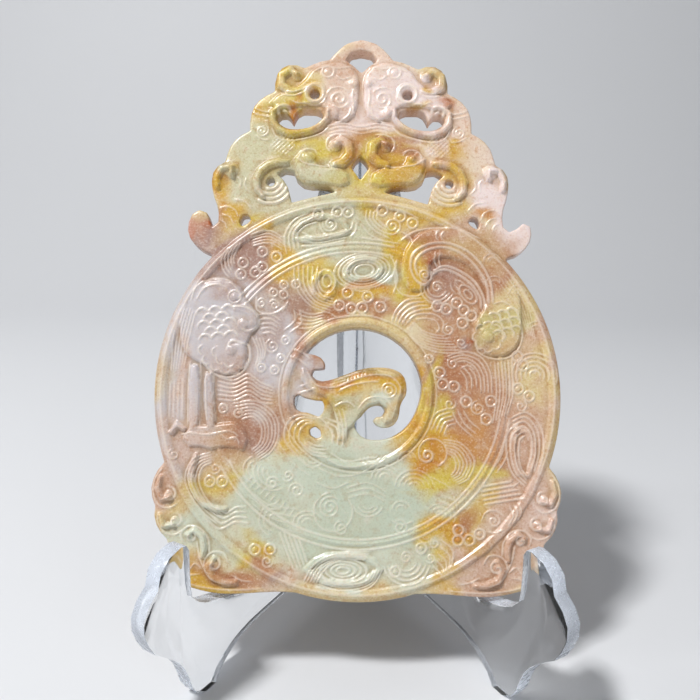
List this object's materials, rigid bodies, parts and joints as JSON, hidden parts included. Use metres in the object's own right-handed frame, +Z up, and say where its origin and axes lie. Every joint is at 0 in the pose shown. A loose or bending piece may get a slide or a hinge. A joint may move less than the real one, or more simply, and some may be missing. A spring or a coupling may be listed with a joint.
{
  "type": "carved jade bi disc on a display stand",
  "caption": "Carved jade bi disc with a twin-dragon crest, pierced and covered in chi-dragon scrolls, leaning in a clear acrylic display stand.",
  "frame": {"origin": "on the ground, under the middle of the whole", "axes": "+Z up, the carved front faces -Y and leans back towards +Y, +X to the viewer's right"},
  "size_m": [0.09, 0.0872, 0.1384],
  "materials": {
    "jade": "polished",
    "acrylic": "clear"
  },
  "bodies": {
    "root": {"jade_disc": "jade", "stand_plate_left": "acrylic", "stand_plate_right": "acrylic"}
  },
  "joints": []
}
